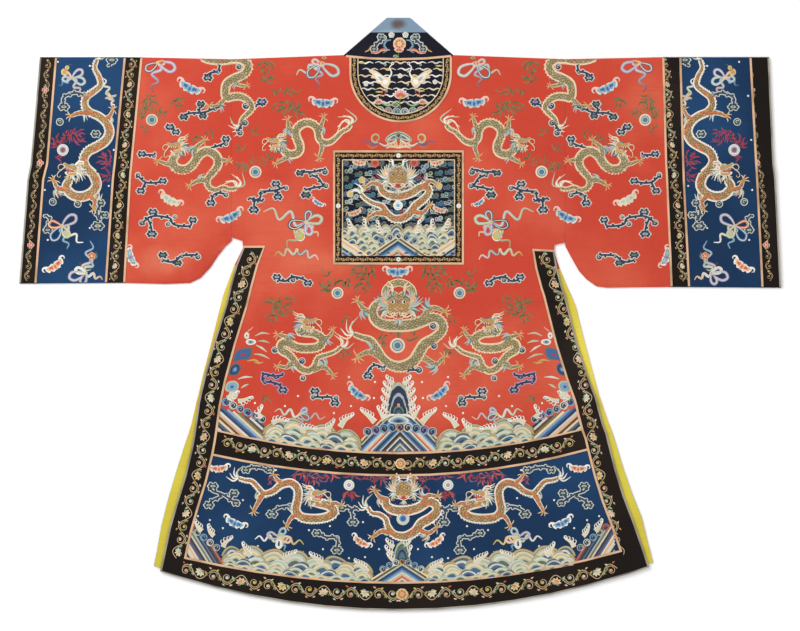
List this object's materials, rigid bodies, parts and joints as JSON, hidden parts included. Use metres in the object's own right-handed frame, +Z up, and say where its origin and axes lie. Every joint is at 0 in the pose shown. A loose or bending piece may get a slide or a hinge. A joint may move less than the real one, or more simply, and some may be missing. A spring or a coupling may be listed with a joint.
{
  "type": "taoist priest robe",
  "caption": "Open-fronted wide-sleeved ceremonial robe of embroidered silk with dark scroll borders, laid flat with its back upwards.",
  "frame": {"origin": "middle of the robe's outline, on the surface that it lies on", "axes": "+X to the right cuff as seen from above, +Y towards the collar, +Z up off the surface"},
  "size_m": [1.8274, 1.422, 0.0114],
  "materials": {
    "red_silk": "ribbed silk with a soft sheen",
    "blue_silk": "plain silk with a soft sheen",
    "black_satin": "satin ground under a couched vine",
    "navy_satin": "dark satin ground",
    "pale_silk": "worn plain silk",
    "cream_piping": "twisted silk cord",
    "grey_binding": "narrow faded silk binding",
    "yellow_lining": "thin glossy silk lining"
  },
  "bodies": {
    "root": {"body_left": "red_silk", "sleeve_left": "red_silk", "cuff_inner_border_left": "black_satin", "cuff_band_left": "blue_silk", "cuff_outer_border_left": "black_satin", "cuff_piping_red_left": "cream_piping", "cuff_piping_inner_left": "cream_piping", "cuff_piping_outer_left": "cream_piping", "cuff_edge_left": "grey_binding", "side_border_left": "black_satin", "side_edge_left": "grey_binding", "side_piping_left": "cream_piping", "neckband_left": "navy_satin", "front_skirt_left": "blue_silk", "front_lining_left": "yellow_lining", "body_right": "red_silk", "sleeve_right": "red_silk", "cuff_inner_border_right": "black_satin", "cuff_band_right": "blue_silk", "cuff_outer_border_right": "black_satin", "cuff_piping_red_right": "cream_piping", "cuff_piping_inner_right": "cream_piping", "cuff_piping_outer_right": "cream_piping", "cuff_edge_right": "grey_binding", "side_border_right": "black_satin", "side_edge_right": "grey_binding", "side_piping_right": "cream_piping", "neckband_right": "navy_satin", "front_skirt_right": "blue_silk", "front_lining_right": "yellow_lining", "back_skirt": "blue_silk", "mid_border": "black_satin", "mid_piping_upper": "cream_piping", "mid_piping_lower": "cream_piping", "hem_border": "black_satin", "hem_piping": "cream_piping", "hem_edge": "grey_binding", "bib_panel": "navy_satin", "bib_border": "black_satin", "bib_piping": "cream_piping", "badge_panel": "navy_satin", "badge_border_top": "black_satin", "badge_piping_top": "cream_piping", "badge_border_bottom": "black_satin", "badge_piping_bottom": "cream_piping", "badge_border_left": "black_satin", "badge_piping_left": "cream_piping", "badge_border_right": "black_satin", "badge_piping_right": "cream_piping", "collar_back": "navy_satin", "collar_edge": "pale_silk", "neck_piping": "cream_piping"}
  },
  "joints": []
}
